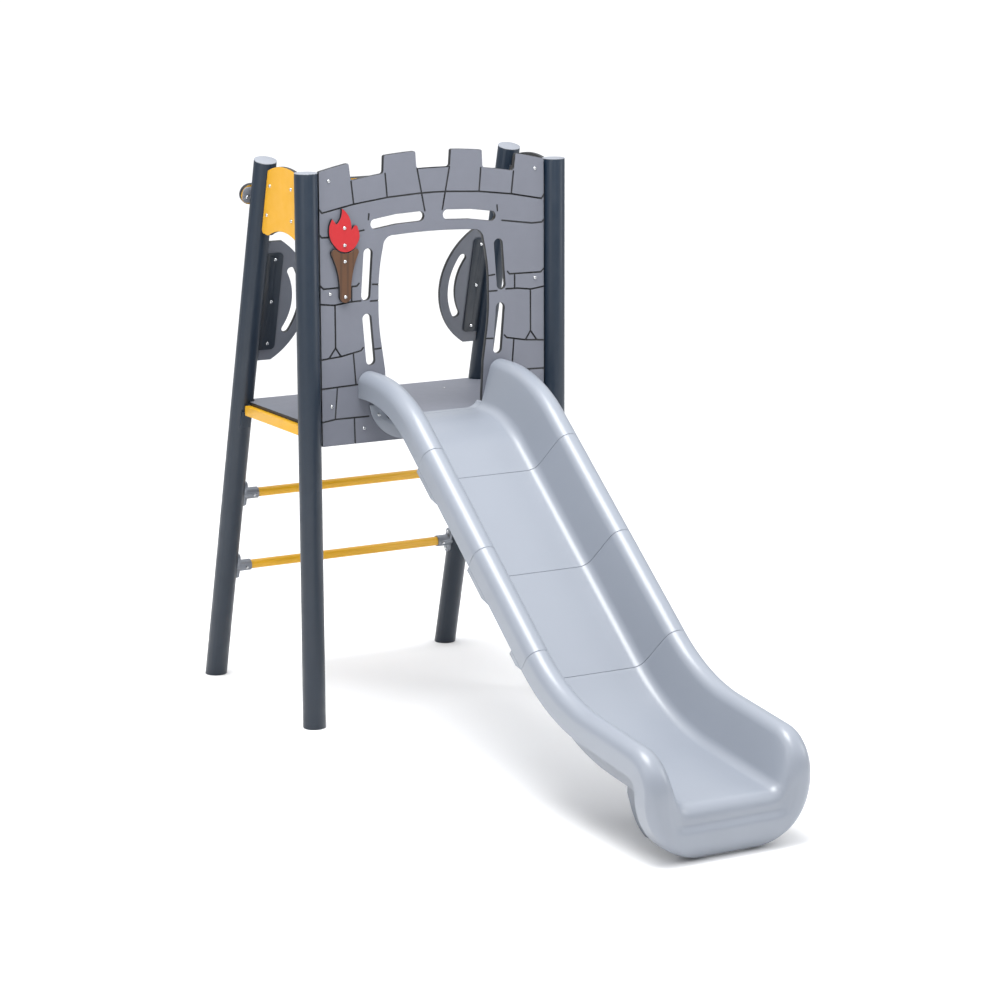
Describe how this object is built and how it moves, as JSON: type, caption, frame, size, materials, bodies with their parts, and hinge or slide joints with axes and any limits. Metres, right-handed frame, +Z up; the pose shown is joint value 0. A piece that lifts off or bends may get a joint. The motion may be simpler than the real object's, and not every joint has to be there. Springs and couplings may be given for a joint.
{
  "type": "straight slide",
  "caption": "Free-standing straight slide: castle-wall entry panel, raised deck, rung ladder on leaning posts and a high-sided trough with a rounded exit.",
  "frame": {"origin": "middle of the footprint, at ground level", "axes": "+Z up, -Y down the slide towards its exit, +Y towards the ladder, +X to the right when facing the ladder's way in, the symmetry direction"},
  "size_m": [1.2078, 3.151, 2.2247],
  "materials": {
    "post_steel": "dark blue-grey powder coat, satin",
    "cap_grey": "light grey moulded cap",
    "panel_grey": "grey-skinned polyethylene sheet with a black core",
    "sheet_yellow": "yellow polyethylene sheet",
    "flame_red": "red polyethylene sheet",
    "torch_brown": "brown polyethylene sheet",
    "tube_yellow": "yellow powder coat",
    "cast_grey": "as-cast aluminium, fine grain",
    "plate_black": "black powder coat",
    "zinc_steel": "zinc-plated steel",
    "bolt_steel": "stainless steel",
    "slide_plastic": "light blue-grey moulded polyethylene, semi-gloss"
  },
  "bodies": {
    "root": {"beam_sockets_left": "plate_black", "beam_sockets_right": "plate_black", "caps_front": "cap_grey", "caps_rear": "cap_grey", "castle_panel": "panel_grey", "deck": "panel_grey", "deck_angle_left": "zinc_steel", "deck_angle_right": "zinc_steel", "deck_beam_left": "tube_yellow", "deck_beam_right": "tube_yellow", "deck_bolts": "bolt_steel", "deck_joists": "zinc_steel", "exit_leg_left": "slide_plastic", "exit_leg_right": "slide_plastic", "flange_bolts": "bolt_steel", "foot_plugs_front": "plate_black", "foot_plugs_rear": "plate_black", "grip_bolts": "bolt_steel", "grip_nuts": "bolt_steel", "grip_plate_left": "plate_black", "grip_plate_right": "plate_black", "hand_grip_left": "panel_grey", "hand_grip_right": "panel_grey", "header_bolts": "bolt_steel", "header_nuts": "bolt_steel", "header_plate_left": "cast_grey", "header_plate_right": "cast_grey", "joint_bolts": "bolt_steel", "joint_lugs": "slide_plastic", "ladder_bolts": "bolt_steel", "panel_bolts": "bolt_steel", "panel_nuts": "bolt_steel", "panel_tabs_left": "zinc_steel", "panel_tabs_right": "zinc_steel", "post_front_left": "post_steel", "post_front_right": "post_steel", "post_rear_left": "post_steel", "post_rear_right": "post_steel", "rear_header": "sheet_yellow", "rung_lower": "tube_yellow", "rung_sockets_left": "cast_grey", "rung_sockets_right": "cast_grey", "rung_upper": "tube_yellow", "saddle_lower": "zinc_steel", "saddle_middle": "zinc_steel", "saddle_upper": "zinc_steel", "side_panel_bolts": "bolt_steel", "side_panel_left": "sheet_yellow", "side_panel_nuts": "bolt_steel", "side_panel_right": "sheet_yellow", "side_panel_tabs_left": "zinc_steel", "side_panel_tabs_right": "zinc_steel", "slide_exit": "slide_plastic", "slide_flange": "slide_plastic", "slide_lower": "slide_plastic", "slide_start": "slide_plastic", "slide_upper": "slide_plastic", "torch_bolts": "bolt_steel", "torch_flame": "flame_red", "torch_handle": "torch_brown"}
  },
  "joints": []
}
